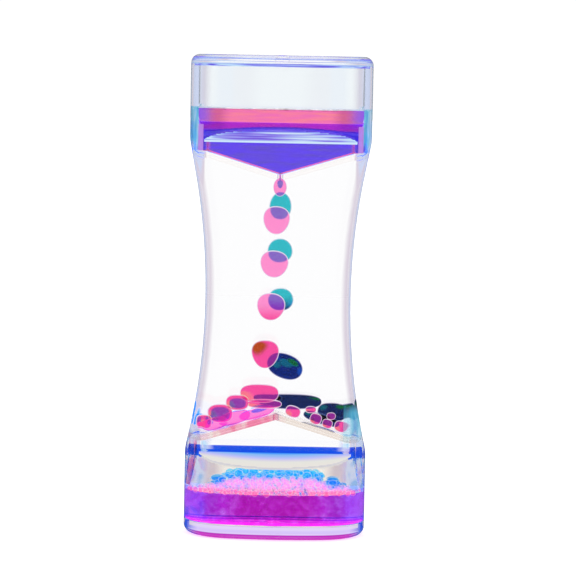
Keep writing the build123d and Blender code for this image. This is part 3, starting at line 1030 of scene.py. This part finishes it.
class TIMER_OT_drops(bpy.types.Operator):
    """Build the hanging drops, the falling drops and the drops that have landed"""

    bl_idname = "timer.drops"
    bl_label = "Drops"

    def falling(self, finishes):
        """Build the falling drops, no two quite alike."""
        eggs = {"pink": -0.15, "blue": 0.02}
        egg_spread, lean_spread, tipped = 0.04, 7, 20
        draw = random.Random(5)
        for node in DROPS:
            hue = node.split("_")[0]
            low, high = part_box(node)
            half = (high - low) / 2
            egg = eggs[hue] + draw.uniform(-egg_spread, egg_spread)
            # The last blue drop tips over as it lands
            lean = tipped if node == DROPS[-1] else draw.uniform(-lean_spread, lean_spread)
            place = Matrix.Translation((low + high) / 2) @ Matrix.Rotation(math.radians(lean), 4, "Y")
            body = bulb(falling_profile(egg, half.z), half.x, half.y, place)
            drop = new_object(node + "_liquid", body, [finishes[hue]])
            settle(drop, node, hue + "_liquid", node)

    def hanging(self, finishes):
        """Build the drops that form at the drip holes."""
        neck_radius = 0.35 * MM
        for hue in finishes:
            node = hue + "_pendant_drop"
            low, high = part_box(node)
            half = (high - low) / 2
            middle = (low + high) / 2
            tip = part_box(hue + "_reservoir")[0].z
            profile = hanging_profile(low.z, tip, neck_radius / half.x)
            body = bulb(profile, half.x, half.y, Matrix.Translation((middle.x, middle.y, 0)))
            pendant = new_object(node + "_liquid", body, [finishes[hue]])
            settle(pendant, "case", hue + "_liquid", node)

    def landed(self, hue, groups):
        """Build one colour's pile on the lower roof, from groups of landed drops and their finishes."""
        node = hue + "_pile"
        low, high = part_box(node)
        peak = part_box("lower_front_tray")[1].z
        bodies = []
        slots = []
        for slot, (drops, _) in enumerate(groups):
            for drop in drops:
                bodies.append(landed_body(drop, peak, low, high))
                slots += [slot] * len(bodies[-1][1])
        finishes = [finish for _, finish in groups]
        pile = new_object(node + "_liquid", join_bodies(bodies), finishes, slots)
        settle(pile, "case", hue + "_liquid", node)

    def execute(self, context):
        dyes = context.scene.timer_liquid
        # Painted reflections in the drops: patches with a tint, the direction that they face and how wide
        # they are
        amber = [(dyes.amber, (-0.5, -0.74, 0.45), 0.32)]
        pale = [(dyes.peach, (-0.62, -0.72, -0.3), 0.2)]
        glints = [
            (dyes.glint, (-0.38, -0.92, 0.1), 0.04),
            (dyes.glint, (0.08, -0.95, 0.3), 0.05),
            (dyes.leaf, (0.42, -0.8, 0.43), 0.05),
            (dyes.sheen, (0.78, -0.6, -0.15), 0.09),
            (dyes.sheen, (-0.45, -0.7, 0.55), 0.08),
        ]
        faint = [(dyes.glint, (-0.5, -0.7, 0.5), 0.08), (dyes.leaf, (0.5, -0.65, 0.57), 0.06)]
        # Heights over which the drops turn from their low colours to their high ones; the darker low colours
        # are painted shade, for the darker surroundings seen through the lower drops
        pink_span = (59.5 * MM, 64.5 * MM)
        blue_span = (61.5 * MM, 66.5 * MM)
        # Painted shade: the darker low colours, also on the landed pink drops
        shaded_pink = (dyes.hot_pink, dyes.hot_glow)
        shaded_blue = (dyes.navy, NO_GLOW)
        rim = dyes.rim
        finishes = {
            "pink": new_material(
                "pink_dyed_water_drop", dyed_water, dyes.pink, dyes.pink_glow, shaded_pink, pink_span, rim, amber
            ),
            "blue": new_material(
                "blue_dyed_water_drop", dyed_water, dyes.teal, NO_GLOW, shaded_blue, blue_span, rim, glints
            ),
        }
        slumped = new_material("pink_dyed_water_landed", dyed_water, *shaded_pink, rim=rim, spots=pale)
        run_out = new_material("pink_dyed_water_film", dyed_water, dyes.run_pink, dyes.pink_glow)
        deep = new_material("blue_dyed_water_landed", dyed_water, dyes.dark_navy, rim=rim, spots=faint)
        thin = new_material("blue_dyed_water_thin", dyed_water, dyes.thin_blue, dyes.thin_glow, rim=rim)
        self.falling(finishes)
        self.hanging(finishes)
        self.landed("pink", [(PINK_LANDED, slumped), (PINK_FILM, run_out)])
        self.landed("blue", [(NAVY_LANDED, deep), (THIN_LANDED, thin)])
        return {"FINISHED"}


class TIMER_OT_foam(bpy.types.Operator):
    """Build the foam of small drops on the pools"""

    bl_idname = "timer.foam"
    bl_label = "Foam"

    def execute(self, context):
        dyes = context.scene.timer_liquid
        form = CaseForm(context.scene.timer_case)
        finishes = {
            "pink": new_material(
                "pink_foam",
                dyed_water,
                linear("#F8D0EE"),
                linear("#644C58"),
                (linear("#FFBCD8"), linear("#6C4050")),
                (12.8 * MM, 13.6 * MM),
                dyes.rim,
                clear_rim=0.25,
            ),
            "blue": new_material(
                "blue_foam",
                dyed_water,
                linear("#90E0F8"),
                linear("#003858"),
                (linear("#7CC4F8"), linear("#003858")),
                (14.5 * MM, 17 * MM),
                dyes.rim,
                clear_rim=0.3,
            ),
        }
        smallest = 0.4
        closeness = 0.85
        draw = random.Random(11)
        # Each colour's tries to place a bubble, and the size of its largest one
        for hue, tries, largest in (("pink", 2400, 0.7), ("blue", 1800, 1.0)):
            low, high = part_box(hue + "_foam")
            bubbles = []
            for _ in range(tries):
                radius = dyes.bubble * draw.uniform(smallest, 1.0) * largest
                x = draw.uniform(low.x + radius, high.x - radius)
                y = draw.uniform(low.y + radius, high.y - radius)
                z = draw.uniform(low.z, max(low.z, foam_top(hue, x, low, high) - radius))
                if math.hypot(x, y) + radius > form.radius(math.atan2(y, x), z, form.sizes.wall):
                    continue
                spot = Vector((x, y, z))
                if all((spot - other).length > closeness * (radius + r) for other, r in bubbles):
                    bubbles.append((spot, radius))
            bm = bmesh.new()
            for spot, radius in bubbles:
                place = Matrix.Translation(spot)
                bmesh.ops.create_icosphere(bm, subdivisions=2, radius=radius, matrix=place)
            foam = new_object(hue + "_foam_bubbles", bm, [finishes[hue]])
            settle(foam, "case", hue + "_foam", hue + "_foam")
        return {"FINISHED"}


class TIMER_OT_oil(bpy.types.Operator):
    """Build the oil's free surface in both compartments"""

    bl_idname = "timer.oil"
    bl_label = "Oil surface"

    def execute(self, context):
        sizes = context.scene.timer_case
        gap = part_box("upper_divider")[1].y
        ring = CaseForm(sizes).ring(sizes.oil_level, sizes.wall)
        # Only the top of the clear oil bends light, and the rest of its skin lets all light through
        unseen = bpy.data.objects["clear_tube"].data.materials[WELDED]
        finishes = [new_material("clear_mineral_oil", clear_finish, "#FFFFFF", OIL), unseen]
        for name, side in (("oil_surface_front", -1), ("oil_surface_rear", 1)):
            half = [p.copy() for p in ring if p.y * side > gap]
            if side < 0:
                half.sort(key=lambda p: math.atan2(p.y, p.x))
            for end in (0, -1):
                half[end].y = side * gap
            count = len(half)
            lower = [Vector((p.x, p.y, sizes.oil_level - OIL_SKIN)) for p in half]
            verts, faces = skin([lower, half])
            faces.append(tuple(range(count))[::-1])
            faces.append(tuple(range(count, 2 * count)))
            slots = [1] * (count + 1) + [0]
            oil = new_object(name, (verts, faces), finishes, slots)
            settle(oil, "case", "clear_case")
        return {"FINISHED"}


class TIMER_OT_stage(bpy.types.Operator):
    """Build the floor, the soft white surroundings and the camera"""

    bl_idname = "timer.stage"
    bl_label = "Stage and camera"

    def floor(self):
        """Lay a wide pale floor just under the timer, which its clear walls neither show nor mirror."""
        half = 6.0
        gap = 0.02 * MM
        corners = [(-half, -half, 0), (half, -half, 0), (half, half, 0), (-half, half, 0)]
        white = new_material("matt_white_floor", light_table)
        floor = new_object("floor", (corners, [(0, 1, 2, 3)]), [white])
        floor.location.z = -gap
        floor.visible_transmission = False
        floor.visible_glossy = False

    def room(self, scene):
        """Light the timer from a white room, with grey sides that show through clear walls."""
        world = bpy.data.worlds.new("soft_white_room")
        scene.world = world
        world.use_nodes = True
        tree = world.node_tree
        tree.nodes.clear()
        place = add_node(tree, "TexCoord")
        axes = add_node(tree, "SeparateXYZ", {"Vector": place["Generated"]})
        across = add_node(tree, "Math", {"operation": "ABSOLUTE", 0: axes["X"]})["Value"]
        bands = [(0.0, "#FFFFFF"), (0.14, "#FFFFFF"), (0.25, "#DCD2DE"), (0.34, "#DCD4E4")]
        bands += [(0.42, "#D2DCF6"), (0.86, "#D2DCF6"), (0.96, "#FFFFFF")]
        sides = add_node(tree, "ValToRGB", {"Fac": across}, bands)["Color"]
        bright, dim = 1.05, 0.12
        seen = add_node(tree, "Background", {"Color": sides, "Strength": bright})["Background"]
        white = add_node(tree, "Background", {"Color": linear("#FFFFFF"), "Strength": bright})["Background"]
        mirrored = add_node(tree, "Background", {"Color": linear("#FFFFFF"), "Strength": dim})["Background"]
        rays = add_node(tree, "LightPath")
        gloss = add_node(tree, "MixShader", {0: rays["Is Glossy Ray"], 1: white, 2: mirrored})["Shader"]
        light = add_node(tree, "MixShader", {0: rays["Is Transmission Ray"], 1: gloss, 2: seen})["Shader"]
        add_node(tree, "OutputWorld", {"Surface": light})

    def camera(self, scene):
        """Place the camera in front, a little over the timer's middle and looking down at it."""
        stage = scene.timer_stage
        lens = bpy.data.cameras.new("camera")
        lens.sensor_width = 36.0
        lens.lens = lens.sensor_width * stage.distance / stage.frame_width
        lens.clip_end = 50
        camera = bpy.data.objects.new("camera", lens)
        scene.collection.objects.link(camera)
        eye = Vector((stage.aim_across, -stage.distance, stage.eye_height))
        aim = Vector((stage.aim_across, 0, stage.aim_height))
        turn = (aim - eye).to_track_quat("-Z", "Y").to_matrix().to_4x4()
        camera.matrix_world = Matrix.Translation(eye) @ turn @ Matrix.Rotation(stage.roll, 4, "Z")
        scene.camera = camera

    def execute(self, context):
        scene = context.scene
        self.floor()
        self.room(scene)
        self.camera(scene)
        scene.view_settings.view_transform = "Standard"
        scene.view_settings.look = "None"
        # Light passes many clear faces before it leaves the case
        scene.cycles.use_denoising = True
        scene.cycles.max_bounces = 48
        scene.cycles.transmission_bounces = 48
        scene.cycles.glossy_bounces = 24
        scene.cycles.transparent_max_bounces = 48
        scene.cycles.blur_glossy = 0.0
        return {"FINISHED"}


class TIMER_PT_panel(bpy.types.Panel):
    """Sidebar panel with the timer's pieces"""

    bl_label = "Liquid motion timer"
    bl_idname = "TIMER_PT_panel"
    bl_space_type = "VIEW_3D"
    bl_region_type = "UI"
    bl_category = "Timer"

    def draw(self, context):
        for operator in OPERATORS:
            self.layout.operator(operator.bl_idname)


OPERATORS = [
    TIMER_OT_tube,
    TIMER_OT_caps,
    TIMER_OT_inserts,
    TIMER_OT_bodies,
    TIMER_OT_drops,
    TIMER_OT_foam,
    TIMER_OT_oil,
    TIMER_OT_stage,
]
SETTINGS = {
    "timer_case": TimerCaseSettings,
    "timer_liquid": TimerLiquidSettings,
    "timer_stage": TimerStageSettings,
}
CLASSES = [*SETTINGS.values(), *OPERATORS, TIMER_PT_panel]


def register():
    for cls in CLASSES:
        bpy.utils.register_class(cls)
    for name, group in SETTINGS.items():
        setattr(bpy.types.Scene, name, PointerProperty(type=group))


def unregister():
    for name in SETTINGS:
        delattr(bpy.types.Scene, name)
    for cls in reversed(CLASSES):
        bpy.utils.unregister_class(cls)


def main():
    register()
    for operator in OPERATORS:
        group, name = operator.bl_idname.split(".")
        getattr(getattr(bpy.ops, group), name)()


if __name__ == "__main__":
    main()
